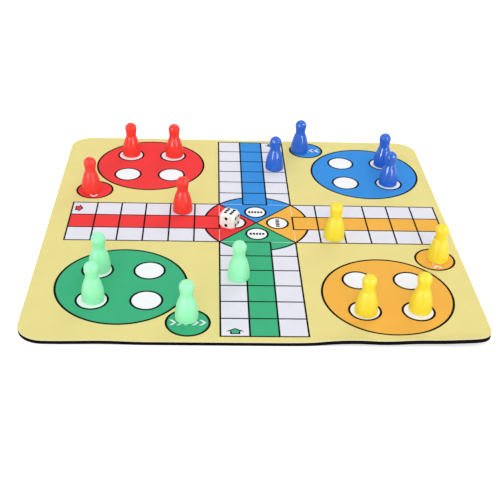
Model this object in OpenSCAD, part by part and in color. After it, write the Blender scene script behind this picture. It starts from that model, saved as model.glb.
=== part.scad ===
// Ludo play mat: a printed cloth face on a rubber base, with four pawns of each colour and a die.
// Millimetres. Origin in the middle of the underside, +Z up, +X to the right, +Y to the back.

/* [Mat] */
// Thickness of the rubber base
base_t = 2.2; // [1:0.1:4]
// Thickness of the cloth face
cloth_t = 0.2; // [0.15:0.05:0.6]
// Thickness of the printed ink
ink_t = 0.1; // [0.05:0.01:0.2]
// Corner radius of the mat
corner_r = 15; // [4:0.5:18]
// Border left of the board
border_left = 12.6; // [3:0.1:25]
// Border right of the board
border_right = 4.9; // [3:0.1:25]
// Border behind the board
border_back = 4.3; // [3:0.1:25]
// Border in front of the board
border_front = 5; // [3:0.1:25]

/* [Board] */
// Width of a track square, across its arm
cell_w = 16; // [14:0.1:20]
// Length of a track square, along its arm
cell_l = 16.15; // [15.5:0.05:20]
// Squares along each arm
arm_cells = 6; // [6:1:8]
// Width of the lines around the squares
line_w = 1.05; // [0.3:0.05:1.4]
// Width of the rings around the discs
ring_w = 1.35; // [0.3:0.05:1.6]
// Width of the pale hairlines beside the goal
hair_w = 0.3; // [0.2:0.05:0.6]
// Radius of a home disc
home_r = 38; // [34:0.25:39]
// Gap from a home disc to the arm of its own colour
home_gap_own = 19; // [17:0.25:20]
// Gap from a home disc to the next arm
home_gap_next = 11; // [8:0.25:13]
// Radius of a waiting spot on a home disc
spot_r = 9; // [7:0.25:11]
// Distance between neighbouring waiting spots
spot_pitch = 30.6; // [26:0.2:32]
// Radius of a start disc
start_r = 12; // [10:0.25:13]
// Gap from a start disc to its arm
start_gap = 5.8; // [2:0.2:7]
// Radius of a goal spot
goal_r = 6.9; // [4:0.1:8]
// Distance of a goal spot from the middle of the board
goal_dist = 13.9; // [12:0.1:15]

/* [Marks] */
// Chevrons on a start disc
chevron_n = 5; // [2:1:5]
// Width of a chevron across its row
chevron_w = 5; // [3:0.1:6]
// Stroke of a chevron
chevron_t = 1.7; // [0.8:0.1:2]
// Distance between chevrons
chevron_pitch = 4.1; // [3.6:0.1:4.4]
// Strokes in a goal spot
stroke_n = 5; // [2:1:5]
// Length of a stroke
stroke_l = 2.4; // [1.5:0.1:4]
// Width of a stroke
stroke_w = 1.45; // [0.6:0.05:1.7]
// Distance between strokes
stroke_pitch = 2; // [1.8:0.1:2.4]
// Width of an entry arrow
arrow_w = 10.2; // [6:0.1:12]
// Length of an entry arrow's head
arrow_head_l = 2.9; // [2.5:0.1:4.5]
// Width of an entry arrow's stem
arrow_stem_w = 5.6; // [3:0.1:6.5]
// Length of an entry arrow's stem
arrow_stem_l = 2.4; // [1.5:0.1:3]
// Gap from an entry arrow to the outer end of its square
arrow_gap = 2; // [1:0.1:4]
// Share of an entry arrow that its coloured middle takes
arrow_fill = 0.66; // [0.4:0.02:0.8]

/* [Pawn] */
// Height of a pawn
pawn_h = 25; // [22:0.5:32]
// Radius of the head
head_r = 4.2; // [3.4:0.1:5.2]
// How much thinner the waist is than the head
waist_cut = 0.6; // [0.4:0.05:1.4]
// Drop from the middle of the head to the waist
waist_drop = 5.7; // [4.5:0.1:7]
// Radius of the foot
rim_r = 6.45; // [5.8:0.05:7.4]
// Radius of the arc that swells the skirt
skirt_arc_r = 32; // [25:1:80]
// Rounding of the foot's lower edge
foot_round = 0.8; // [0.3:0.05:1]
// Wall of the hollow skirt
pawn_wall = 1.3; // [1:0.05:1.6]

/* [Die] */
// Edge of the die
die_a = 10.5; // [9:0.25:14]
// Radius of the die's rounded edges
die_edge_r = 1.6; // [0.6:0.1:1.7]
// How much the ball cut takes off each corner
die_corner_cut = 1; // [0.2:0.05:1.2]
// Radius of a pip's dish
pip_r = 1; // [0.6:0.05:1]
// Depth of a pip's dish
pip_depth = 0.45; // [0.25:0.05:0.6]
// Paint in a pip's dish
pip_paint_t = 0.2; // [0.1:0.05:0.25]
// Distance from the sides of a face to its columns of pips
pip_side_inset = 3.3; // [2.75:0.05:3.4]
// Distance from the ends of a face to its rows of pips
pip_end_inset = 2.8; // [2.8:0.05:3]

/* [Play] */
// Die to the right of the board's middle
die_x = -17.5; // [-60:0.5:60]
// Die behind the board's middle
die_y = -4; // [-20:0.5:20]
// Turn of the die about the vertical
die_turn = -27; // [-180:1:180]
// Squares from the outer end of the arm to each colour's pawn on the track
track_step = [4, 2, 4, 3];

/* [Hidden] */
// Curve steps, seen only in the preview mesh
$fn = 64;
// Overlap that lets a cutting shape pass through a face
cut = 1;

COLOURS = ["red", "blue", "yellow", "green"];
PAWNS = [for (colour = COLOURS, i = [1:4]) str(colour, "_pawn_", i)];
MAT_NODES = ["rubber_base", "cloth_face", "cream_print", "red_print", "blue_print",
    "amber_print", "green_print", "white_print", "line_print"];

PRINT_INK = ["#f23c41", "#3c96eb", "#fab44b", "#46b487"];
PAWN_PLASTIC = ["#f0463c", "#375fd2", "#ffe632", "#a0ffc3"];

// Colours follow the board clockwise: left, back, right and front arm
RED = 0;
BLUE = 1;
AMBER = 2;
GREEN = 3;

// Small shifts of each pawn off its place, as it was set down, by colour: two spots, start, track
pawn_shift = [
    [[0.25, 1.25], [1, 0.75], [-2.25, -1], [0, -1.25]],
    [[0.25, -0.75], [-0.5, 0], [-5, -0.75], [0.25, -1.5]],
    [[1, 1.5], [0.25, -1.25], [1.75, 0.5], [0.75, -0.75]],
    [[0.75, 0.5], [1.25, 0.75], [-0.75, 4], [3, 0.5]]];

side = 3 * cell_w / 2;
arm_reach = side + arm_cells * cell_l;
mat_w = border_left + 2 * arm_reach + border_right;
mat_l = border_front + 2 * arm_reach + border_back;
board_x = (border_left - border_right) / 2;
board_y = (border_front - border_back) / 2;
cloth_z = base_t;
ink_z = cloth_z + cloth_t;
play_z = ink_z + ink_t;

goal_disc_r = side * sqrt(2);
home_x = -(side + home_gap_next + home_r);
home_y = side + home_gap_own + home_r;
start_x = start_r - arm_reach;
start_y = side + start_gap + start_r;
arrow_x = arrow_gap + arrow_stem_l - arm_reach;

head_z = pawn_h - head_r;
waist_r = head_r - waist_cut;
waist_z = head_z - waist_drop;
scoop_r = (waist_drop ^ 2 + waist_r ^ 2 - head_r ^ 2) / (2 * waist_cut);
neck_top = [waist_r + scoop_r, -waist_drop] * head_r / (head_r + scoop_r) + [0, head_z];

skirt_low = [rim_r, foot_round];
skirt_high = [waist_r, waist_z];
skirt_chord = skirt_high - skirt_low;
skirt_in = [-skirt_chord[1], skirt_chord[0]] / norm(skirt_chord);
skirt_centre = (skirt_low + skirt_high) / 2 + skirt_in * sqrt(skirt_arc_r ^ 2 - norm(skirt_chord) ^ 2 / 4);

die_ball_r = sqrt(3) * (die_a / 2 - die_edge_r * (1 - sqrt(0.5))) - die_corner_cut;
pip_x = die_a / 2 - pip_side_inset;
pip_y = die_a / 2 - pip_end_inset;
pip_ball_r = (pip_r ^ 2 + pip_depth ^ 2) / (2 * pip_depth);

// Plain outlines

module rounded_rect(w, l, r) {
    square([w - 2 * r, l], center = true);
    square([w, l - 2 * r], center = true);
    for (x = [-1, 1], y = [-1, 1])
        translate([x * (w / 2 - r), y * (l / 2 - r)]) circle(r);
}

module mat_outline() {
    rounded_rect(mat_w, mat_l, corner_r);
}

// The board is drawn once for the left arm, and a quarter turn clockwise gives each next colour
module quarter(colour) {
    rotate(-90 * colour) children();
}

// Places on the board, for the left arm

module at_home() {
    translate([home_x, home_y]) children();
}

module at_spots() {
    at_home()
        for (x = [-1, 1], y = [-1, 1])
            translate([x, y] * spot_pitch / 2) children();
}

module at_start() {
    translate([start_x, start_y]) children();
}

module at_goal() {
    translate([-goal_dist, 0]) children();
}

// Shapes of the print, for the left arm

module cell(step, row) {
    translate([(step + 0.5) * cell_l - arm_reach, row * cell_w])
        square([cell_l - line_w, cell_w - line_w], center = true);
}

module goal_column() {
    translate([-arm_reach, -(cell_w + line_w) / 2])
        square([arm_reach - side + line_w / 2, cell_w + line_w]);
}

module goal_wedge() {
    tip = line_w * sqrt(0.5);
    far = goal_disc_r + ring_w;
    intersection() {
        circle(goal_disc_r - ring_w / 2);
        polygon([[-tip, 0], [-far, far - tip], [-far, tip - far]]);
    }
}

module hairlines() {
    intersection() {
        goal_wedge();
        difference() {
            translate([-side, 0]) square([hair_w, 2 * side], center = true);
            goal_column();
        }
    }
}

module chevrons() {
    reach = chevron_w / 2;
    for (i = [0:chevron_n - 1])
        translate([0, ((chevron_n - 1) / 2 - i) * chevron_pitch - (reach + chevron_t) / 2])
            polygon([[0, 0], [reach, reach], [reach, reach + chevron_t], [0, chevron_t],
                [-reach, reach + chevron_t], [-reach, reach]]);
}

module strokes() {
    for (i = [0:stroke_n - 1])
        translate([0, (i - (stroke_n - 1) / 2) * stroke_pitch])
            square([stroke_l, stroke_w], center = true);
}

module arrow(share) {
    translate([arrow_x, cell_w])
        scale(share)
            polygon([[-arrow_stem_l, -arrow_stem_w / 2], [0, -arrow_stem_w / 2], [0, -arrow_w / 2],
                [arrow_head_l, 0],
                [0, arrow_w / 2], [0, arrow_stem_w / 2], [-arrow_stem_l, arrow_stem_w / 2]]);
}

module colour_field() {
    for (step = [0:arm_cells - 1]) cell(step, 0);
    arrow(arrow_fill);
    difference() {
        at_home() circle(home_r - ring_w / 2);
        at_spots() circle(spot_r + ring_w / 2);
    }
    difference() {
        at_start() circle(start_r - ring_w / 2);
        at_start() chevrons();
    }
    difference() {
        goal_wedge();
        goal_column();
        hairlines();
        at_goal() circle(goal_r + ring_w / 2);
    }
}

module white_field() {
    difference() {
        for (step = [0:arm_cells - 1], row = [-1, 1]) cell(step, row);
        circle(goal_disc_r + ring_w / 2);
        arrow(1);
    }
    at_spots() circle(spot_r - ring_w / 2);
    at_start() chevrons();
    difference() {
        at_goal() circle(goal_r - ring_w / 2);
        at_goal() strokes();
    }
    hairlines();
}

module board_mask() {
    circle(goal_disc_r + ring_w / 2);
    for (colour = [RED:GREEN])
        quarter(colour) {
            translate([-arm_reach - line_w / 2, -side - line_w / 2])
                square([arm_cells * cell_l + line_w, 2 * side + line_w]);
            at_home() circle(home_r + ring_w / 2);
            at_start() circle(start_r + ring_w / 2);
        }
}

module on_board(z) {
    translate([board_x, board_y, z]) children();
}

module colour_print(colour) {
    color(PRINT_INK[colour])
        on_board(ink_z) linear_extrude(ink_t) quarter(colour) colour_field();
}

// Sub-parts of the mat

module rubber_base() {
    color("#1c1c1c") linear_extrude(base_t) mat_outline();
}

module cloth_face() {
    color("#f4f2ec") translate([0, 0, cloth_z]) linear_extrude(cloth_t) mat_outline();
}

module cream_print() {
    color("#ebde91")
        translate([0, 0, ink_z])
            linear_extrude(ink_t)
                difference() {
                    mat_outline();
                    translate([board_x, board_y]) board_mask();
                }
}

module white_print() {
    color("#e8e6f0")
        on_board(ink_z)
            linear_extrude(ink_t)
                for (colour = [RED:GREEN]) quarter(colour) white_field();
}

module line_print() {
    color("#17171a")
        on_board(ink_z)
            linear_extrude(ink_t)
                difference() {
                    board_mask();
                    for (colour = [RED:GREEN])
                        quarter(colour) {
                            colour_field();
                            white_field();
                        }
                }
}

// Pawns

module pawn_outline() {
    intersection() {
        square([rim_r + cut, pawn_h + cut]);
        union() {
            translate([0, head_z]) circle(head_r);
            difference() {
                translate([0, waist_z]) square([head_r, neck_top[1] - waist_z]);
                translate([waist_r + scoop_r, waist_z]) circle(scoop_r);
            }
            intersection() {
                translate(skirt_centre) circle(skirt_arc_r);
                translate([0, foot_round]) square([rim_r + cut, waist_z - foot_round]);
            }
            translate([rim_r - foot_round, foot_round]) circle(foot_round);
            square([rim_r - foot_round, foot_round]);
        }
    }
}

module pawn_hollow() {
    core_r = waist_r - pawn_wall;
    intersection() {
        translate([0, -cut]) square([rim_r, pawn_h]);
        union() {
            intersection() {
                translate(skirt_centre) circle(skirt_arc_r - pawn_wall);
                translate([0, -cut]) square([rim_r, waist_z - pawn_wall + cut]);
            }
            square([core_r, head_z]);
            translate([0, head_z]) circle(core_r);
        }
    }
}

module pawn(colour, place) {
    spot = [home_x, home_y] + [place == 0 ? -1 : 1, 1] * spot_pitch / 2;
    start = [start_x, start_y];
    track = [(track_step[colour] + 0.5) * cell_l - arm_reach, cell_w];
    color(PAWN_PLASTIC[colour])
        on_board(play_z)
            translate(pawn_shift[colour][place])
                quarter(colour)
                    translate(place < 2 ? spot : place == 2 ? start : track)
                        rotate_extrude()
                            difference() {
                                pawn_outline();
                                pawn_hollow();
                            }
}

// Die

function pip_spots(n) = concat(
    n % 2 == 1 ? [[0, 0]] : [],
    n == 2 ? [[0, 1], [0, -1]] : [],
    n > 2 ? [[-1, 1], [1, -1]] : [],
    n > 3 ? [[-1, -1], [1, 1]] : [],
    n == 6 ? [[-1, 0], [1, 0]] : []);

// Turns that bring the top to each face, with the pips on it
die_faces = [[[0, 0, 0], 6], [[90, 0, 0], 2], [[90, 0, 90], 4],
    [[90, 0, -90], 3], [[90, 0, 180], 5], [[180, 0, 0], 1]];

module at_die() {
    on_board(play_z) translate([die_x, die_y, die_a / 2]) rotate(die_turn) children();
}

module pip_balls(lift) {
    for (face = die_faces)
        rotate(face[0])
            for (spot = pip_spots(face[1]))
                translate([spot[0] * pip_x, spot[1] * pip_y, die_a / 2 + pip_ball_r - pip_depth + lift])
                    sphere(pip_ball_r);
}

module die_blank() {
    intersection() {
        die_prism();
        rotate([90, 0, 0]) die_prism();
        rotate([0, 90, 0]) die_prism();
        sphere(die_ball_r);
    }
}

module die_prism() {
    linear_extrude(die_a, center = true) rounded_rect(die_a, die_a, die_edge_r);
}

module die() {
    color("#f6f2e6")
        at_die()
            difference() {
                die_blank();
                pip_balls(0);
            }
}

module die_pips() {
    color("#17171a")
        at_die()
            difference() {
                intersection() {
                    cube(die_a, center = true);
                    pip_balls(0);
                }
                pip_balls(pip_paint_t);
            }
}

rubber_base();
cloth_face();
cream_print();
colour_print(RED);  // red_print
colour_print(BLUE);  // blue_print
colour_print(AMBER);  // amber_print
colour_print(GREEN);  // green_print
white_print();
line_print();
for (colour = [RED:GREEN], place = [0:3])
    pawn(colour, place);
die();
die_pips();
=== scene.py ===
"""Ludo play mat with its pawns and die, dressed as in a studio.

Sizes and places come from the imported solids. The mat's sheets, the pawns and the die are modelled
again as finer meshes that replace those solids, the print is laid over the curled mat, and every
finish is a shader made of nodes.
"""

from __future__ import annotations

import logging
import math
from contextlib import contextmanager
from dataclasses import dataclass, field
from enum import Enum
from functools import cache
from typing import Callable, Iterator, Union

import bmesh
import bpy
from mathutils import Matrix, Quaternion, Vector


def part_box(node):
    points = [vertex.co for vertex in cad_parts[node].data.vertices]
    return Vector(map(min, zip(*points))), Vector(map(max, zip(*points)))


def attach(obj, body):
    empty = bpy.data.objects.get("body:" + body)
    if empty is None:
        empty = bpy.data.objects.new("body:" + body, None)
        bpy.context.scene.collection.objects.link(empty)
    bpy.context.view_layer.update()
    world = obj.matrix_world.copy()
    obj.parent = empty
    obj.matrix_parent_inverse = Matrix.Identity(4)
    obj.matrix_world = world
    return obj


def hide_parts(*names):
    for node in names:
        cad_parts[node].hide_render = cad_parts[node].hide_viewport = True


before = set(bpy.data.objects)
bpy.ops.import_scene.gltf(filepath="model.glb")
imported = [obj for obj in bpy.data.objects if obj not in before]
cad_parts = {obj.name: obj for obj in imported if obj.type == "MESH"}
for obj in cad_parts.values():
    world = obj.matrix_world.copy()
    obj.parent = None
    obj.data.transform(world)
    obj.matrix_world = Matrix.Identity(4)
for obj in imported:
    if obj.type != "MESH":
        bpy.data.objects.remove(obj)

LOG = logging.getLogger("ludo_mat")
MM = 0.001
# Points closer than this, in metres, are one
MERGE = 1e-6
FULL_TURN = 2 * math.pi
QUARTER_TURN = math.pi / 2
WHITE = (1.0, 1.0, 1.0, 1.0)
# A screen's gamma: a straight start up to a knee, then a power curve
TOP_TONE = 255
GAMMA_KNEE = 0.04045
GAMMA_SLOPE = 12.92
GAMMA_OFFSET = 0.055
GAMMA_POWER = 2.4

Tone = tuple[int, int, int]
Span = tuple[float, float]
Socket = bpy.types.NodeSocket
Value = Union[Socket, float, tuple]


class Team(Enum):
    """The four sides of the game."""

    RED = "red"
    BLUE = "blue"
    YELLOW = "yellow"
    GREEN = "green"


def linear(tone: Tone, shade: float = 1.0) -> tuple[float, float, float, float]:
    """A screen colour as the renderer's own values.

    Args:
        tone: Red, green and blue from 0 to 255, as a screen shows them.
        shade: Factor on the brightness.

    Returns:
        Linear red, green and blue with a full alpha.
    """
    def channel(value: int) -> float:
        """One channel without the screen's gamma.

        Args:
            value: The channel as a screen shows it.

        Returns:
            The channel's light.
        """
        share = value / TOP_TONE
        if share <= GAMMA_KNEE:
            return shade * share / GAMMA_SLOPE
        return shade * ((share + GAMMA_OFFSET) / (1 + GAMMA_OFFSET)) ** GAMMA_POWER

    return (*(channel(value) for value in tone), 1.0)


# Work on meshes, as by hand


def deselect_all() -> None:
    """Leaves no object selected, so that an operator meets only what is picked next."""
    bpy.ops.object.select_all(action="DESELECT")


def activate(piece: bpy.types.Object) -> None:
    """Makes one object the only one that operators act on.

    Args:
        piece: The object.
    """
    deselect_all()
    piece.select_set(True)
    bpy.context.view_layer.objects.active = piece


@contextmanager
def editing(piece: bpy.types.Object, element: str = "FACE") -> Iterator[None]:
    """Opens an object's mesh for editing, with all of it selected.

    Args:
        piece: The object to edit.
        element: What selections hold: VERT, EDGE or FACE.
    """
    activate(piece)
    bpy.ops.object.mode_set(mode="EDIT")
    bpy.ops.mesh.select_mode(type=element)
    bpy.ops.mesh.select_all(action="SELECT")
    yield
    bpy.ops.object.mode_set(mode="OBJECT")


def pick_faces(piece: bpy.types.Object, test: Callable[[bmesh.types.BMFace], bool]) -> None:
    """Selects the faces that pass a test, in an open edit.

    Args:
        piece: The object being edited.
        test: Says whether a face is picked.
    """
    bpy.ops.mesh.select_all(action="DESELECT")
    mesh = bmesh.from_edit_mesh(piece.data)
    for face in mesh.faces:
        face.select_set(test(face))
    bmesh.update_edit_mesh(piece.data)


def slice_along(axis: int, stations: list[float]) -> None:
    """Cuts all that shows in an open edit by planes, without taking anything away.

    Args:
        axis: The planes' normal: 0, 1 or 2 for X, Y or Z.
        stations: Where the planes stand on that axis.
    """
    normal = Vector((0, 0, 0))
    normal[axis] = 1
    for station in stations:
        bpy.ops.mesh.select_all(action="SELECT")
        bpy.ops.mesh.bisect(plane_co=normal * station, plane_no=normal)


def apply_modifier(piece: bpy.types.Object, kind: str, **settings: object) -> None:
    """Adds a modifier to a piece and applies it.

    Args:
        piece: The object that is changed.
        kind: The modifier's type.
        settings: Its properties.
    """
    activate(piece)
    modifier = piece.modifiers.new(kind.lower(), kind)
    for key, value in settings.items():
        setattr(modifier, key, value)
    bpy.ops.object.modifier_apply(modifier=modifier.name)


def smooth(piece: bpy.types.Object, degrees: float) -> None:
    """Shades a piece smooth, with edges sharper than an angle kept crisp."""
    activate(piece)
    bpy.ops.object.shade_smooth_by_angle(angle=math.radians(degrees))


def move_points(piece: bpy.types.Object, move: Callable[[Vector], Vector]) -> None:
    """Moves every point of a mesh.

    Args:
        piece: The object whose mesh is shaped.
        move: Gives a point's new place from its old one.
    """
    for vertex in piece.data.vertices:
        vertex.co = move(vertex.co)
    piece.data.update()


def added(name: str) -> bpy.types.Object:
    """Names the object that an operator has just added.

    Args:
        name: The object's name, which its mesh gets too.

    Returns:
        The object.
    """
    piece = bpy.context.active_object
    piece.name = piece.data.name = name
    return piece


def settle_place(piece: bpy.types.Object) -> None:
    """Moves an object's place into its mesh, so that it sits at the origin."""
    activate(piece)
    bpy.ops.object.transform_apply(location=True, rotation=True, scale=True)


def copied(source: bpy.types.Object, name: str, place: Matrix = Matrix()) -> bpy.types.Object:
    """Copies an object with a mesh of its own.

    Args:
        source: The object that is copied.
        name: The copy's name.
        place: A transform that goes into the copy's mesh.

    Returns:
        The copy, at the origin.
    """
    mesh = source.data.copy()
    mesh.name = name
    mesh.transform(place)
    piece = bpy.data.objects.new(name, mesh)
    bpy.context.scene.collection.objects.link(piece)
    return piece


def joined(pieces: list[bpy.types.Object], name: str) -> bpy.types.Object:
    """Joins objects into one.

    Args:
        pieces: The objects.
        name: The name of what they become.

    Returns:
        The joined object.
    """
    activate(pieces[0])
    for piece in pieces:
        piece.select_set(True)
    bpy.ops.object.join()
    return added(name)


def hand_over(piece: bpy.types.Object, finish: Finish, body: str, *nodes: str) -> None:
    """Dresses a finished piece and says which body carries it and what it stands for.

    Args:
        piece: The finished object.
        finish: The surface that it gets.
        body: The body that it moves with.
        nodes: The solids that it replaces.
    """
    piece.data.materials.clear()
    piece.data.materials.append(finish.material())
    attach(piece, body)
    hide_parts(*nodes)
    LOG.info("%s: %d faces, rides on %s", piece.name, len(piece.data.polygons), body)


# Finishes


class Mix(Enum):
    """What a mix node mixes, with the numbers of its two inputs and of its result."""

    VALUE = ("FLOAT", 2, 3, 0)
    COLOUR = ("RGBA", 6, 7, 2)


class Graph:
    """One material's nodes, added with short calls."""

    def __init__(self, name: str) -> None:
        """Starts a material with its shader and the points of the object that wears it.

        Args:
            name: The material's name.
        """
        self.result = bpy.data.materials.new(name)
        self.result.use_nodes = True
        self.tree = self.result.node_tree
        self.shader = self.tree.nodes["Principled BSDF"]
        self.point = self.add("ShaderNodeTexCoord").outputs["Object"]

    def add(self, kind: str, inputs: dict | None = None, **settings: object) -> bpy.types.Node:
        """Adds a node.

        Args:
            kind: The node's type.
            inputs: Values or sockets for its inputs, by name or number.
            settings: The node's properties.

        Returns:
            The new node.
        """
        node = self.tree.nodes.new(kind)
        for key, value in settings.items():
            setattr(node, key, value)
        for key, value in (inputs or {}).items():
            self.feed(node.inputs[key], value)
        return node

    def feed(self, socket: Socket, value: Value) -> None:
        """Links a socket to another, or sets its value.

        Args:
            socket: The socket that is fed.
            value: Another node's socket, or a value.
        """
        if isinstance(value, bpy.types.NodeSocket):
            self.tree.links.new(value, socket)
        else:
            socket.default_value = value

    def surface(self, **inputs: Value) -> None:
        """Feeds the shader.

        Args:
            inputs: What its inputs get, named in lower case with underscores.
        """
        names = {socket.name.lower().replace(" ", "_"): socket for socket in self.shader.inputs}
        for key, value in inputs.items():
            self.feed(names[key], value)

    def math(self, operation: str, first: Value, second: Value = 0.0) -> Socket:
        """The result of a sum on two values."""
        return self.add("ShaderNodeMath", {0: first, 1: second}, operation=operation).outputs[0]

    def split(self, vector: Socket) -> list[Socket]:
        """The three parts of a vector."""
        return list(self.add("ShaderNodeSeparateXYZ", {"Vector": vector}).outputs)

    def noise(self, size: float, detail: float = 3.0) -> Socket:
        """Cloudy values from 0 to 1.

        Args:
            size: Width of a cloud, in metres.
            detail: How many finer layers are added.

        Returns:
            The cloud's value.
        """
        inputs = {"Vector": self.point, "Scale": 1 / size, "Detail": detail}
        return self.add("ShaderNodeTexNoise", inputs).outputs[0]

    def cells(self, size: float) -> Socket:
        """Distance from the nearest of many scattered points, for pores."""
        inputs = {"Vector": self.point, "Scale": 1 / size}
        return self.add("ShaderNodeTexVoronoi", inputs).outputs["Distance"]

    def between(self, share: Value, low: float, high: float) -> Socket:
        """A share from 0 to 1 spread over a range."""
        inputs = {"Value": share, "To Min": low, "To Max": high}
        return self.add("ShaderNodeMapRange", inputs).outputs[0]

    def blend(self, share: Value, first: Value, second: Value, kind: Mix = Mix.COLOUR) -> Socket:
        """A mix of two colours or values.

        Args:
            share: How much of the second there is.
            first: What a share of 0 gives.
            second: What a share of 1 gives.
            kind: Whether colours or values are mixed.

        Returns:
            The mix.
        """
        data_type, start, end, result = kind.value
        inputs = {0: share, start: first, end: second}
        return self.add("ShaderNodeMix", inputs, data_type=data_type).outputs[result]

    def shades(self, share: Value, tone: Tone, low: float, high: float = 1.0) -> Socket:
        """A tone that goes from one shade of it to another with a share."""
        return self.blend(share, linear(tone, low), linear(tone, high))

    def bump(self, height: Socket, depth: float) -> Socket:
        """A normal that shows a height from 0 to 1, where 1 measures a depth in metres."""
        return self.add("ShaderNodeBump", {"Height": height, "Distance": depth}).outputs[0]


@dataclass(frozen=True)
class Finish:
    """A surface that pieces wear: its slot in the record and its colour."""

    slot: str
    tone: Tone

    @cache
    def material(self) -> bpy.types.Material:
        """Makes the finish once, for all the pieces that wear it.

        Returns:
            The finish as a material.
        """
        graph = Graph(f"{self.slot}_finish")
        self.paint(graph)
        return graph.result

    def paint(self, graph: Graph) -> None:
        """Adds the finish's nodes."""
        raise NotImplementedError


@dataclass(frozen=True)
class KnitCloth(Finish):
    """Dye in smooth knitted cloth: loops with painted shade in their hollows, a soft sheen, a slightly
    uneven print.
    """

    wale: float = 0.5 * MM
    course: float = 0.42 * MM
    loop_depth: float = 0.05 * MM
    twist: Span = (0.65, 1.0)
    cloud: float = 14 * MM
    speck: float = 0.9 * MM
    speck_detail: float = 2.0
    # Weights of the loops' painted shade and of the uneven dyeing in the colour, and the colour's
    # range
    loop_share: float = 0.4
    grain_share: float = 0.3
    uneven: Span = (0.9, 1.1)
    rough: Span = (0.72, 0.95)
    shine: float = 0.05

    def loops(self, graph: Graph) -> Socket:
        """Knits columns of slanted legs that meet in a V.

        Args:
            graph: The material's nodes.

        Returns:
            Height of the loops.
        """
        x, y, _ = graph.split(graph.point)
        across = graph.math("MULTIPLY", x, 1 / self.wale)
        along = graph.math("MULTIPLY", y, 1 / self.course)
        leg = graph.math("PINGPONG", across, 0.5)
        yarn = graph.math("SINE", graph.math("MULTIPLY", leg, FULL_TURN))
        slant = graph.math("MULTIPLY", graph.math("ADD", along, leg), FULL_TURN)
        twist = graph.between(graph.math("SINE", slant), *self.twist)
        return graph.math("MULTIPLY", yarn, twist)

    def dyed_and_shaded(self, graph: Graph, knit_shade_and_dye: Socket) -> Socket:
        """The cloth's colour from a share of uneven dyeing and of painted shade in the loops' hollows.
        """
        return graph.shades(knit_shade_and_dye, self.tone, *self.uneven)

    def paint(self, graph: Graph) -> None:
        """Adds the uneven dyeing, the loops with painted shade in their hollows, and the sheen.

        Args:
            graph: The material's nodes.
        """
        loops = self.loops(graph)
        specks = graph.noise(self.speck, self.speck_detail)
        grain = graph.math("ADD", graph.noise(self.cloud), specks)
        # Painted shade: the loops darken the colour where they are low; the clouds and specks are
        # uneven dyeing
        loop_shade = graph.math("MULTIPLY", loops, self.loop_share)
        knit_shade_and_dye = graph.math("ADD", loop_shade, graph.math("MULTIPLY", grain, self.grain_share))
        graph.surface(
            base_color=self.dyed_and_shaded(graph, knit_shade_and_dye),
            roughness=graph.between(specks, *self.rough),
            normal=graph.bump(loops, self.loop_depth),
            specular_ior_level=self.shine,
        )


@dataclass(frozen=True)
class BareCloth(KnitCloth):
    """Cloth left white: faintly lavender on the track and whiter in the home and goal spots."""

    spot_tone: Tone = (250, 251, 254)
    middle: Span = (3.85 * MM, 0.35 * MM)
    home_place: float = 77 * MM
    home_reach: float = 42 * MM
    goal_reach: float = 24 * MM

    def inside(self, graph: Graph, place: float, reach: float) -> Socket:
        """Finds four round areas, one in each quarter of the board.

        Args:
            graph: The material's nodes.
            place: How far the areas' middles are from the board's middle, across and along.
            reach: The areas' radius.

        Returns:
            1 in the areas and 0 elsewhere.
        """
        squares = []
        for part, middle in zip(graph.split(graph.point), self.middle):
            off = graph.math("ABSOLUTE", graph.math("SUBTRACT", part, middle))
            squares.append(graph.math("POWER", graph.math("SUBTRACT", off, place), 2.0))
        return graph.math("LESS_THAN", graph.math("ADD", *squares), reach ** 2)

    def dyed_and_shaded(self, graph: Graph, knit_shade_and_dye: Socket) -> Socket:
        """Sets the spots off from the track.

        Args:
            graph: The material's nodes.
            knit_shade_and_dye: The share of uneven dyeing and of painted shade in the loops' hollows.

        Returns:
            The cloth's colour.
        """
        track, spot = (graph.shades(knit_shade_and_dye, tone, *self.uneven) for tone in (self.tone, self.spot_tone))
        home = self.inside(graph, self.home_place, self.home_reach)
        goal = self.inside(graph, 0.0, self.goal_reach)
        return graph.blend(graph.math("MAXIMUM", home, goal), track, spot)


@dataclass(frozen=True)
class FoamRubber(Finish):
    """Black foamed rubber: open pores on the cut edge and a fine, greyer grip pattern underneath."""

    under_tone: Tone = (40, 39, 35)
    under_slope: float = -0.7
    pore: float = 0.45 * MM
    pore_depth: float = 0.12 * MM
    grip: float = 1.6 * MM
    grip_height: Span = (0.5, 1.0)
    # Painted shade at the bottom of the grip pattern's grooves, as a share of the underside's tone
    groove_shade: float = 0.3
    dust: float = 3 * MM
    uneven: Span = (0.7, 1.3)
    wear: Span = (0.6, 1.4)
    rough: Span = (0.95, 0.7)
    shine: float = 0.02

    def grip_waves(self, graph: Graph) -> Socket:
        """Crosses two sets of waves.

        Args:
            graph: The material's nodes.

        Returns:
            Height of the grip pattern.
        """
        x, y, _ = graph.split(graph.point)
        turns = [graph.math("MULTIPLY", part, FULL_TURN / self.grip) for part in (x, y)]
        waves = [graph.math("SINE", turn) for turn in turns]
        return graph.between(graph.math("MULTIPLY", *waves), *self.grip_height)

    def paint(self, graph: Graph) -> None:
        """Adds the pores, the grip pattern with painted shade in its grooves, and the dusty black.

        Args:
            graph: The material's nodes.
        """
        pores = graph.cells(self.pore)
        waves = self.grip_waves(graph)
        dust = graph.noise(self.dust)
        _, _, up = graph.split(graph.add("ShaderNodeNewGeometry").outputs["Normal"])
        under = graph.math("LESS_THAN", up, self.under_slope)
        cut = graph.shades(dust, self.tone, *self.uneven)
        # Painted shade: the underside darkens in the grip pattern's grooves, unevenly with the dust
        groove_shade_and_wear = graph.math("MULTIPLY", waves, graph.between(dust, *self.wear))
        grip = graph.shades(groove_shade_and_wear, self.under_tone, self.groove_shade)
        relief = graph.blend(under, pores, waves, Mix.VALUE)
        graph.surface(
            base_color=graph.blend(under, cut, grip),
            roughness=graph.between(pores, *self.rough),
            normal=graph.bump(relief, self.pore_depth),
            specular_ior_level=self.shine,
        )


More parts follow.
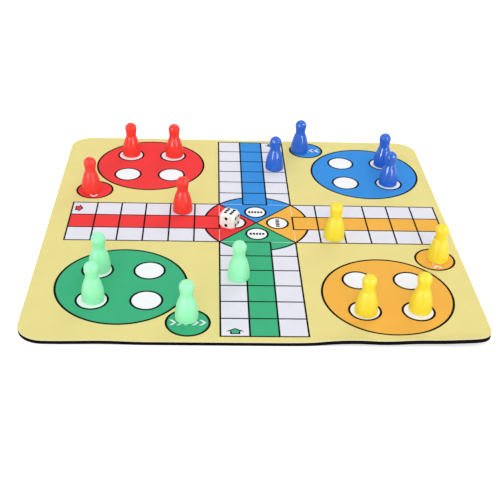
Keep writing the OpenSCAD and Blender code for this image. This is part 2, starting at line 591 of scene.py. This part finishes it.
@dataclass(frozen=True)
class MouldedPlastic(Finish):
    """Moulded plastic, from clear gloss to milky satin."""

    gloss: float
    shine: float
    depth: tuple[float, float, float] = (1.0, 0.5, 0.35)
    reach: float = 2.0 * MM
    through: float = 0.3
    cloud: float = 4 * MM
    cloud_shade: float = 0.94
    skin: float = 1.2 * MM
    ripple: float = 0.004 * MM
    groove_shade_and_wear: Span = (0.8, 1.2)

    def paint(self, graph: Graph) -> None:
        """Adds the pigment's clouds, the moulded skin and the light inside the plastic.

        Args:
            graph: The material's nodes.
        """
        skin = graph.noise(self.skin)
        low, high = (self.gloss * share for share in self.groove_shade_and_wear)
        graph.surface(
            base_color=graph.shades(graph.noise(self.cloud), self.tone, self.cloud_shade),
            roughness=graph.between(skin, low, high),
            normal=graph.bump(skin, self.ripple),
            specular_ior_level=self.shine,
            subsurface_weight=self.through,
            subsurface_radius=self.depth,
            subsurface_scale=self.reach,
        )


@dataclass(frozen=True)
class PipPaint(Finish):
    """Black paint that dried in a dish, with a little dust on it."""

    dust: float = 0.5 * MM
    dust_depth: float = 0.02 * MM
    uneven: Span = (0.7, 1.3)
    rough: Span = (0.5, 0.8)
    shine: float = 0.05

    def paint(self, graph: Graph) -> None:
        """Adds the paint's uneven skin.

        Args:
            graph: The material's nodes.
        """
        dust = graph.noise(self.dust)
        graph.surface(
            base_color=graph.shades(dust, self.tone, *self.uneven),
            roughness=graph.between(dust, *self.rough),
            normal=graph.bump(dust, self.dust_depth),
            specular_ior_level=self.shine,
        )


RUBBER = FoamRubber("rubber", (14, 13, 7))
CLOTH = KnitCloth("cloth", (240, 238, 230))
INKS = {
    "cream_print": KnitCloth("cream_ink", (237, 224, 147)),
    "red_print": KnitCloth("red_ink", (246, 64, 66)),
    "blue_print": KnitCloth("blue_ink", (60, 148, 228)),
    "amber_print": KnitCloth("amber_ink", (247, 184, 77)),
    "green_print": KnitCloth("green_ink", (65, 181, 131)),
    "white_print": BareCloth("white_ink", (233, 233, 244)),
    "line_print": KnitCloth("black_ink", (10, 10, 11)),
}
PLASTICS = {
    Team.RED: MouldedPlastic(
        "red_plastic", (248, 69, 60), gloss=0.12, shine=0.13, depth=(1.0, 0.3, 0.2),
    ),
    Team.BLUE: MouldedPlastic(
        "blue_plastic", (50, 108, 213), gloss=0.1, shine=0.27, depth=(0.3, 0.5, 1.0),
    ),
    Team.YELLOW: MouldedPlastic(
        "yellow_plastic", (253, 226, 56), gloss=0.45, shine=0.24, through=0.6,
    ),
    Team.GREEN: MouldedPlastic(
        "green_plastic", (163, 252, 198), gloss=0.42, shine=0.24, through=0.6,
    ),
}
IVORY = MouldedPlastic("ivory_plastic", (252, 249, 247), gloss=0.2, shine=0.2, through=0.4)
PIP_PAINT = PipPaint("pip_paint", (8, 8, 9))


# The mat


@dataclass
class Mat:
    """The mat: a rubber base, the cloth on it and the print, with one curled front edge."""

    corner: float = 15 * MM
    corner_steps: int = 16
    edge_rings: tuple[float, ...] = (0.2 * MM, 0.25 * MM, 0.3 * MM, 0.35 * MM)
    edge_drop: float = 0.15 * MM
    border_ink: str = "cream_print"
    flat_slope: float = 0.5
    crisp_angle: float = 40.0
    curl_reach: float = 11 * MM
    slice_x: float = 5 * MM
    slice_y: float = 1.5 * MM
    # Places along the front edge with its lift there, in millimetres
    curl: tuple[Span, ...] = (
        (-150, 0.8), (-130, 0.6), (-108, 0.2), (-82, 0.55), (-62, 0), (12, 0), (29, 0.3), (42, 1.4),
        (54, 1.75), (69, 1.25), (86, 2.05), (102, 2.25), (118, 3), (130, 3.3), (150, 3.5),
    )
    lo: Vector = field(init=False)
    hi: Vector = field(init=False)

    def __post_init__(self) -> None:
        """Takes the mat's outline, and the height of its base, from the base's solid."""
        self.lo, self.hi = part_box("rubber_base")

    def edge_distance(self, point: Vector) -> float:
        """Measures to the mat's rounded outline.

        Args:
            point: A point of the flat mat.

        Returns:
            How far inside the outline it lies.
        """
        half = (self.hi - self.lo) / 2
        middle = (self.hi + self.lo) / 2
        x = abs(point.x - middle.x) - half.x + self.corner
        y = abs(point.y - middle.y) - half.y + self.corner
        return self.corner - math.hypot(max(x, 0), max(y, 0)) - min(max(x, y), 0)

    def lift(self, x: float) -> float:
        """Follows the front edge's waves on a smooth curve through the measured places.

        Args:
            x: A place along the front edge.

        Returns:
            How far the edge stands off the table there.
        """
        spots = [(place * MM, height * MM) for place, height in self.curl]
        after = next(i for i in range(2, len(spots) - 1) if x <= spots[i][0])
        before, start, end, beyond = (height for _, height in spots[after - 2:after + 2])
        left, right = spots[after - 1][0], spots[after][0]
        share = (x - left) / (right - left)
        slope_in, slope_out = (end - before) / 2, (beyond - start) / 2
        bend = (2 * slope_in + slope_out - 3 * (end - start)) * -share ** 2
        twist = (slope_in + slope_out - 2 * (end - start)) * share ** 3
        return max(0.0, start + slope_in * share + bend + twist)

    def rolled(self, point: Vector) -> float:
        """Rounds the face over towards the cut edge.

        Args:
            point: A point of the flat mat.

        Returns:
            How far the mat is pressed down there.
        """
        width = sum(self.edge_rings)
        share = max(0.0, 1 - self.edge_distance(point) / width)
        height = min(1.0, (point.z - self.lo.z) / (self.hi.z - self.lo.z))
        return self.edge_drop * share * share * height

    def laid(self, point: Vector) -> Vector:
        """Curls the mat's front edge up.

        Args:
            point: A point of the flat mat.

        Returns:
            Where it really lies.
        """
        share = max(0.0, 1 - (point.y - self.lo.y) / self.curl_reach)
        lift = self.lift(point.x) if share else 0.0
        tilt = math.atan(2 * lift * share / self.curl_reach)
        height = point.z - self.rolled(point)
        return Vector((
            point.x,
            point.y + height * math.sin(tilt),
            height * math.cos(tilt) + lift * share * share,
        ))

    def slices(self) -> tuple[list[float], list[float]]:
        """Spreads cuts over the curled part of the mat.

        Returns:
            Where it is cut across and along.
        """
        columns = math.ceil((self.hi.x - self.lo.x) / self.slice_x)
        rows = math.ceil(self.curl_reach / self.slice_y)
        across = [self.lo.x + i * self.slice_x for i in range(1, columns)]
        along = [self.lo.y + i * self.slice_y for i in range(1, rows + 1)]
        return across, along

    def cut_for_curl(self, piece: bpy.types.Object) -> None:
        """Gives the front of a flat piece enough points to bend.

        Args:
            piece: The sheet or layer of ink.
        """
        limit = self.lo.y + self.curl_reach + self.slice_y
        across, along = self.slices()
        with editing(piece):
            slice_along(1, [limit])
            pick_faces(piece, lambda face: face.calc_center_median().y < limit)
            bpy.ops.mesh.hide(unselected=True)
            slice_along(1, along)
            slice_along(0, across)
            bpy.ops.mesh.reveal(select=False)
            bpy.ops.mesh.select_all(action="SELECT")
            bpy.ops.mesh.quads_convert_to_tris(quad_method="BEAUTY", ngon_method="BEAUTY")

    def lay(self, piece: bpy.types.Object) -> None:
        """Lays a flat piece on the table as the mat lies.

        Args:
            piece: The sheet or layer of ink.
        """
        self.cut_for_curl(piece)
        move_points(piece, self.laid)
        smooth(piece, self.crisp_angle)

    def sheet(self, name: str, node: str) -> bpy.types.Object:
        """Cuts a sheet with the mat's outline.

        Args:
            name: The sheet's name.
            node: The solid that gives its size and height.

        Returns:
            The sheet, laid on the table.
        """
        lo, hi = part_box(node)
        deselect_all()
        middle = (lo + hi) / 2
        bpy.ops.mesh.primitive_plane_add(size=1, location=(middle.x, middle.y, lo.z))
        piece = added(name)
        piece.scale = (hi.x - lo.x, hi.y - lo.y, 1)
        settle_place(piece)
        with editing(piece, "VERT"):
            bpy.ops.mesh.bevel(offset=self.corner, segments=self.corner_steps, affect="VERTICES")
            bpy.ops.mesh.select_mode(type="FACE")
            bpy.ops.mesh.select_all(action="SELECT")
            for width in self.edge_rings:
                bpy.ops.mesh.inset(thickness=width)
        apply_modifier(piece, "SOLIDIFY", thickness=hi.z - lo.z, offset=1)
        self.lay(piece)
        return piece

    def off_cut_edge(self, face: bmesh.types.BMFace) -> bool:
        """Whether a face isn't part of the mat's cut edge."""
        inside = self.edge_distance(face.calc_center_median()) > self.edge_rings[0] / 2
        return inside or abs(face.normal.z) > self.flat_slope

    def ring_border(self, piece: bpy.types.Object) -> None:
        """Gives the print along the mat's outline the same rings as the sheets below it have.

        Args:
            piece: The layer of ink, open for editing.
        """
        pick_faces(piece, self.off_cut_edge)
        for width in self.edge_rings:
            bpy.ops.mesh.inset(thickness=width)

    def ink(self, node: str) -> bpy.types.Object:
        """Lays one colour of the print on the cloth.

        Args:
            node: The solid that gives its outline.

        Returns:
            The layer of ink.
        """
        piece = copied(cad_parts[node], f"mat_{node}")
        with editing(piece):
            bpy.ops.mesh.remove_doubles(threshold=MERGE)
            bpy.ops.mesh.customdata_custom_splitnormals_clear()
            if node == self.border_ink:
                self.ring_border(piece)
        self.lay(piece)
        return piece

    def build(self) -> None:
        """Builds and dresses the sheets and the print."""
        base = self.sheet("mat_rubber", "rubber_base")
        hand_over(base, RUBBER, "mat", "rubber_base")
        cloth = self.sheet("mat_cloth", "cloth_face")
        hand_over(cloth, CLOTH, "mat", "cloth_face")
        inks = [self.ink(node) for node in INKS]
        for node, piece in zip(INKS, inks):
            hand_over(piece, INKS[node], "mat", node)


# The pawns


@dataclass
class Pawn:
    """A hollow moulded pawn, turned from one outline and copied to every place."""

    head: float = 4.2 * MM
    waist_cut: float = 0.6 * MM
    waist_drop: float = 5.7 * MM
    skirt_arc: float = 32 * MM
    foot_round: float = 0.8 * MM
    wall: float = 1.3 * MM
    # Height of the hollow's shoulder, as a share of its radius, and start of the seam, of the head's
    shoulder: float = 0.5
    seam_start: float = 0.25
    seam: float = 0.025 * MM
    turns: int = 72
    long_steps: int = 24
    mid_steps: int = 12
    short_steps: int = 8
    crisp_angle: float = 50.0
    per_team: int = 4
    height: float = field(init=False)
    rim: float = field(init=False)

    def __post_init__(self) -> None:
        """Takes the height and the foot's width from the first pawn's solid."""
        lo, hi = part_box("red_pawn_1")
        self.height = hi.z - lo.z
        self.rim = (hi.x - lo.x) / 2

    @staticmethod
    def arc(centre: Vector, radius: float, start: float, end: float, steps: int) -> list[Vector]:
        """Points along an arc.

        Args:
            centre: The arc's centre, as distance from the axis and height.
            radius: Its radius.
            start: Angle of its first point, in radians.
            end: Angle of its last point.
            steps: Number of stretches.

        Returns:
            The points, from first to last.
        """
        angles = [start + (end - start) * i / steps for i in range(steps + 1)]
        return [centre + radius * Vector((math.cos(a), math.sin(a))) for a in angles]

    def outline(self) -> list[Vector]:
        """Draws the pawn's cross-section: a ball that runs into a scooped waist, and a swelling skirt.

        Returns:
            Its points, from the top of the hollow round the foot to the top of the head.
        """
        waist = Vector((self.head - self.waist_cut, self.height - self.head - self.waist_drop))
        crown = Vector((0, self.height - self.head))
        scoop_r = (self.waist_drop ** 2 + waist.x ** 2 - self.head ** 2) / (2 * self.waist_cut)
        scoop = waist + Vector((scoop_r, 0))
        neck = math.atan2(scoop.y - crown.y, scoop.x)
        low = Vector((self.rim, self.foot_round))
        chord = waist - low
        inward = Vector((-chord.y, chord.x)).normalized()
        apothem = math.sqrt(self.skirt_arc ** 2 - chord.length_squared / 4)
        swell = (low + waist) / 2 + inward * apothem
        skirt = [math.atan2(*reversed(point - swell)) for point in (low, waist)]

        inner = self.skirt_arc - self.wall
        core = waist.x - self.wall
        ceiling = waist.y - self.wall
        inner_angles = [math.asin((height - swell.y) / inner) for height in (ceiling, 0)]
        foot = Vector((self.rim - self.foot_round, self.foot_round))
        return [
            *self.arc(crown, core, QUARTER_TURN, 0, self.short_steps),
            Vector((core, ceiling + self.shoulder * core)),
            *self.arc(swell, inner, *inner_angles, self.mid_steps),
            *self.arc(foot, self.foot_round, -QUARTER_TURN, 0, self.short_steps),
            *self.arc(swell, self.skirt_arc, *skirt, self.long_steps)[1:],
            *self.arc(scoop, scoop_r, math.pi, math.pi + neck, self.mid_steps)[1:],
            *self.arc(crown, self.head, neck, QUARTER_TURN, self.long_steps)[1:],
        ]

    def turned(self) -> bpy.types.Object:
        """Turns the outline round its axis.

        Returns:
            The pawn at the origin, with its foot at height 0.
        """
        first, *others = [Vector((point.x, 0, point.y)) for point in self.outline()]
        deselect_all()
        bpy.ops.mesh.primitive_plane_add(size=MM)
        piece = added("pawn_pattern")
        with editing(piece, "VERT"):
            bpy.ops.mesh.merge(type="CENTER")
            bpy.ops.transform.translate(value=first)
            here = first
            for there in others:
                bpy.ops.mesh.extrude_vertices_move(TRANSFORM_OT_translate={"value": there - here})
                here = there
            bpy.ops.mesh.select_all(action="SELECT")
            bpy.ops.mesh.spin(steps=self.turns, angle=FULL_TURN, center=(0, 0, 0), axis=(0, 0, 1))
            bpy.ops.mesh.select_all(action="SELECT")
            bpy.ops.mesh.remove_doubles(threshold=MERGE)
            bpy.ops.mesh.normals_make_consistent(inside=False)
        return piece

    def seamed(self, point: Vector) -> Vector:
        """Raises the fine seam of the two-part mould.

        Args:
            point: A point of the turned pawn.

        Returns:
            The point, moved out where it lies on the seam.
        """
        out = Vector((point.x, point.y, 0))
        near_axis = out.length < self.seam_start * self.head
        if near_axis or abs(point.y) > MERGE or point.z < self.foot_round:
            return point
        return point + out.normalized() * self.seam

    def build(self) -> None:
        """Builds one pawn, and a copy of it for every place."""
        pattern = self.turned()
        move_points(pattern, self.seamed)
        smooth(pattern, self.crisp_angle)
        for team, finish in PLASTICS.items():
            for number in range(1, self.per_team + 1):
                node = f"{team.value}_pawn_{number}"
                lo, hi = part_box(node)
                place = Matrix.Translation(((lo.x + hi.x) / 2, (lo.y + hi.y) / 2, lo.z))
                hand_over(copied(pattern, f"{node}_moulding", place), finish, node, node)
        bpy.data.objects.remove(pattern)


# The die


@dataclass
class Die:
    """The die: a well-rounded cube with a dished, painted pip for every point."""

    turn: float = math.radians(-27)
    edge_round: float = 1.6 * MM
    corner_cut: float = 1.0 * MM
    cuts: int = 29
    pip: float = 1.0 * MM
    pip_depth: float = 0.45 * MM
    paint: float = 0.2 * MM
    ball_segments: int = 32
    ball_rings: int = 24
    crisp_angle: float = 35.0
    side_inset: float = 3.3 * MM
    end_inset: float = 2.8 * MM
    # Turns that bring the top to each face, in quarters about X and then Z, with the face's pips
    faces: tuple[tuple[int, int, int], ...] = (
        (0, 0, 6), (1, 0, 2), (1, 1, 4), (1, -1, 3), (1, 2, 5), (2, 0, 1),
    )
    edge: float = field(init=False)
    middle: Vector = field(init=False)

    def __post_init__(self) -> None:
        """Takes the die's size and place from its solid."""
        lo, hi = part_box("die")
        self.edge = hi.z - lo.z
        self.middle = (lo + hi) / 2

    def rounded(self, point: Vector) -> Vector:
        """Rounds the edges, and the corners by a ball.

        Args:
            point: A point of a sharp cube.

        Returns:
            Its place on the die's surface.
        """
        core = self.edge / 2 - self.edge_round
        inner = Vector(max(-core, min(core, value)) for value in point)
        out = point - inner
        spot = inner + out.normalized() * self.edge_round
        diagonal = math.sqrt(3) * (self.edge / 2 - self.edge_round * (1 - math.sqrt(0.5)))
        return spot * min(1.0, (diagonal - self.corner_cut) / spot.length)

    def pip_spots(self, count: int) -> list[tuple[int, int]]:
        """Sets out the pips of a face.

        Args:
            count: How many pips it has.

        Returns:
            Where they sit, in columns and rows from the face's middle.
        """
        spots = [(0, 0)] if count % 2 else []
        if count == 2:
            return [(0, 1), (0, -1)]
        if count > 2:
            spots += [(-1, 1), (1, -1)]
        if count > 3:
            spots += [(-1, -1), (1, 1)]
        if count == 6:
            spots += [(-1, 0), (1, 0)]
        return spots

    def pip_places(self) -> Iterator[Matrix]:
        """Goes through the pips of all faces.

        Returns:
            Each pip's place: its middle on the face, with Z pointing out.
        """
        column = self.edge / 2 - self.side_inset
        row = self.edge / 2 - self.end_inset
        for tipped, spun, count in self.faces:
            tip = Matrix.Rotation(tipped * QUARTER_TURN, 4, "X")
            turn = Matrix.Rotation(spun * QUARTER_TURN, 4, "Z") @ tip
            for x, y in self.pip_spots(count):
                yield turn @ Matrix.Translation((x * column, y * row, self.edge / 2))

    def at_pips(self, pattern: bpy.types.Object, name: str) -> bpy.types.Object:
        """Puts a copy of a pattern at every pip.

        Args:
            pattern: The pattern, on a face at height 0, which is used up.
            name: The name of the copies together.

        Returns:
            The copies, joined into one object.
        """
        copies = [copied(pattern, f"{name}_copy", place) for place in self.pip_places()]
        bpy.data.objects.remove(pattern)
        return joined(copies, name)

    def ball(self, name: str, lift: float = 0.0) -> bpy.types.Object:
        """The ball that dishes a pip in a face at height 0.

        Args:
            name: The ball's name.
            lift: How far it is raised out of the dish.

        Returns:
            The ball.
        """
        radius = (self.pip ** 2 + self.pip_depth ** 2) / (2 * self.pip_depth)
        deselect_all()
        bpy.ops.mesh.primitive_uv_sphere_add(
            segments=self.ball_segments,
            ring_count=self.ball_rings,
            radius=radius,
            location=(0, 0, radius - self.pip_depth + lift),
        )
        piece = added(name)
        settle_place(piece)
        return piece

    def cube(self) -> bpy.types.Object:
        """Rounds a cube and dishes its faces.

        Returns:
            The die's body, at the origin.
        """
        deselect_all()
        bpy.ops.mesh.primitive_cube_add(size=self.edge)
        piece = added("die_body")
        with editing(piece):
            bpy.ops.mesh.subdivide(number_cuts=self.cuts)
        move_points(piece, self.rounded)
        dishes = self.at_pips(self.ball("die_dish"), "die_dishes")
        apply_modifier(piece, "BOOLEAN", operation="DIFFERENCE", object=dishes, solver="EXACT")
        bpy.data.objects.remove(dishes)
        with editing(piece, "VERT"):
            bpy.ops.mesh.remove_doubles(threshold=MERGE)
        smooth(piece, self.crisp_angle)
        return piece

    def pips(self) -> bpy.types.Object:
        """Paints the dishes with a skin between the dish and the same ball raised a little.

        Returns:
            The paint of all the pips, round the origin.
        """
        bowls = [self.ball("die_pip"), self.ball("die_pip_skin", self.paint)]
        for bowl in bowls:
            with editing(bowl):
                bpy.ops.mesh.bisect(plane_co=(0, 0, 0), plane_no=(0, 0, 1), clear_outer=True)
        pip = joined(bowls, "die_pip")
        with editing(pip, "EDGE"):
            bpy.ops.mesh.select_all(action="DESELECT")
            bpy.ops.mesh.select_non_manifold()
            bpy.ops.mesh.bridge_edge_loops()
            bpy.ops.mesh.select_all(action="SELECT")
            bpy.ops.mesh.normals_make_consistent(inside=False)
        piece = self.at_pips(pip, "die_pip_paint")
        smooth(piece, self.crisp_angle)
        return piece

    def build(self) -> None:
        """Builds and dresses the die and its pips where the die lies."""
        place = Matrix.Translation(self.middle) @ Matrix.Rotation(self.turn, 4, "Z")
        parts = ((self.cube(), IVORY, "die"), (self.pips(), PIP_PAINT, "die_pips"))
        for piece, finish, node in parts:
            piece.data.transform(place)
            hand_over(piece, finish, "die", node)


# The studio


class Duty(Enum):
    """What a lamp is there for: to light, or to be mirrored in shiny pieces."""

    LIGHT = "light"
    GLINT = "glint"


@dataclass(frozen=True)
class Softbox:
    """A soft lamp that faces the middle of the mat."""

    name: str
    duty: Duty
    place: tuple[float, float, float]
    width: float
    height: float
    watts: float

    def build(self) -> None:
        """Hangs the lamp."""
        lamp = bpy.data.lights.new(self.name, "AREA")
        lamp.shape = "RECTANGLE"
        lamp.size, lamp.size_y = self.width, self.height
        lamp.energy = self.watts
        holder = bpy.data.objects.new(self.name, lamp)
        holder.location = self.place
        holder.visible_diffuse = self.duty is Duty.LIGHT
        holder.visible_glossy = self.duty is Duty.GLINT
        holder.rotation_euler = (-Vector(self.place)).to_track_quat("-Z", "Y").to_euler()
        bpy.context.scene.collection.objects.link(holder)


@dataclass(frozen=True)
class Studio:
    """A white table in soft light, and the camera that looks at it."""

    camera_place: tuple[float, float, float] = (-28.15 * MM, -505.9 * MM, 299.1 * MM)
    camera_turn: float = math.radians(3.25)
    camera_dip: float = math.radians(32.06)
    camera_roll: float = math.radians(2.46)
    camera_lens: float = 64.9
    table: float = 8.0
    table_gap: float = 0.1 * MM
    table_tone: Tone = (245, 245, 245)
    table_rough: float = 0.9
    table_shine: float = 0.1
    table_glow: float = 0.5
    ambient: float = 0.8
    seen_white: float = 1.0
    lamps: tuple[Softbox, ...] = (
        Softbox("front_softbox", Duty.LIGHT, (0.0, -6.8, 3.6), 6.0, 3.6, 214.0),
        Softbox("back_softbox", Duty.LIGHT, (0.9, 1.8, 1.3), 1.2, 1.0, 10.0),
        Softbox("top_glint", Duty.GLINT, (0.0, 0.5, 1.4), 0.6, 0.4, 10.0),
        Softbox("left_glint", Duty.GLINT, (-0.88, -0.33, 0.6), 0.24, 0.4, 13.0),
        Softbox("right_glint", Duty.GLINT, (0.88, -0.33, 0.6), 0.24, 0.4, 13.0),
        Softbox("left_strip", Duty.GLINT, (-0.75, -0.86, 0.26), 0.2, 0.5, 15.0),
        Softbox("right_strip", Duty.GLINT, (0.75, -0.86, 0.26), 0.2, 0.5, 11.0),
    )

    @staticmethod
    def seen(tree: bpy.types.NodeTree) -> Socket:
        """Tells rays that show a surface from rays that only light one.

        Args:
            tree: The nodes of a material or of the room.

        Returns:
            1 where a ray comes straight from the camera, a gloss or a clear piece, and 0 elsewhere.
        """
        path = tree.nodes.new("ShaderNodeLightPath")
        result = path.outputs["Is Camera Ray"]
        for name in ("Is Glossy Ray", "Is Transmission Ray"):
            larger = tree.nodes.new("ShaderNodeMath")
            larger.operation = "MAXIMUM"
            tree.links.new(result, larger.inputs[0])
            tree.links.new(path.outputs[name], larger.inputs[1])
            result = larger.outputs[0]
        return result

    def build_room(self) -> None:
        """Lights the room evenly, and shows it white."""
        world = bpy.data.worlds.new("studio")
        world.use_nodes = True
        bpy.context.scene.world = world
        background = world.node_tree.nodes["Background"]
        background.inputs["Color"].default_value = WHITE
        strength = world.node_tree.nodes.new("ShaderNodeMapRange")
        strength.inputs["To Min"].default_value = self.ambient
        strength.inputs["To Max"].default_value = self.seen_white
        world.node_tree.links.new(self.seen(world.node_tree), strength.inputs["Value"])
        world.node_tree.links.new(strength.outputs[0], background.inputs["Strength"])

    def build_table(self) -> None:
        """Lays the white table, which keeps the object's shadow."""
        deselect_all()
        bpy.ops.mesh.primitive_plane_add(size=self.table, location=(0, 0, -self.table_gap))
        table = added("table")
        graph = Graph("table_white")
        glow = graph.math("MULTIPLY", self.seen(graph.tree), self.table_glow)
        graph.surface(
            base_color=linear(self.table_tone),
            roughness=self.table_rough,
            specular_ior_level=self.table_shine,
            emission_color=WHITE,
            emission_strength=glow,
        )
        table.data.materials.append(graph.result)

    def build_camera(self) -> None:
        """Sets the camera."""
        data = bpy.data.cameras.new("camera")
        data.lens = self.camera_lens
        camera = bpy.data.objects.new("camera", data)
        level = math.cos(self.camera_dip)
        ahead = Vector((
            math.sin(self.camera_turn) * level,
            math.cos(self.camera_turn) * level,
            -math.sin(self.camera_dip),
        ))
        camera.location = self.camera_place
        roll = Quaternion((0, 0, 1), self.camera_roll)
        camera.rotation_euler = (ahead.to_track_quat("-Z", "Y") @ roll).to_euler()
        bpy.context.scene.collection.objects.link(camera)
        bpy.context.scene.camera = camera

    def build(self) -> None:
        """Builds the room, the table, the lamps and the camera."""
        bpy.context.scene.view_settings.view_transform = "Standard"
        self.build_room()
        self.build_table()
        for lamp in self.lamps:
            lamp.build()
        self.build_camera()


def main() -> None:
    """Builds the studio and every piece."""
    logging.basicConfig(level=logging.INFO, format="%(message)s")
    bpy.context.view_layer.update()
    Studio().build()
    Mat().build()
    Pawn().build()
    Die().build()


if __name__ == "__main__":
    main()
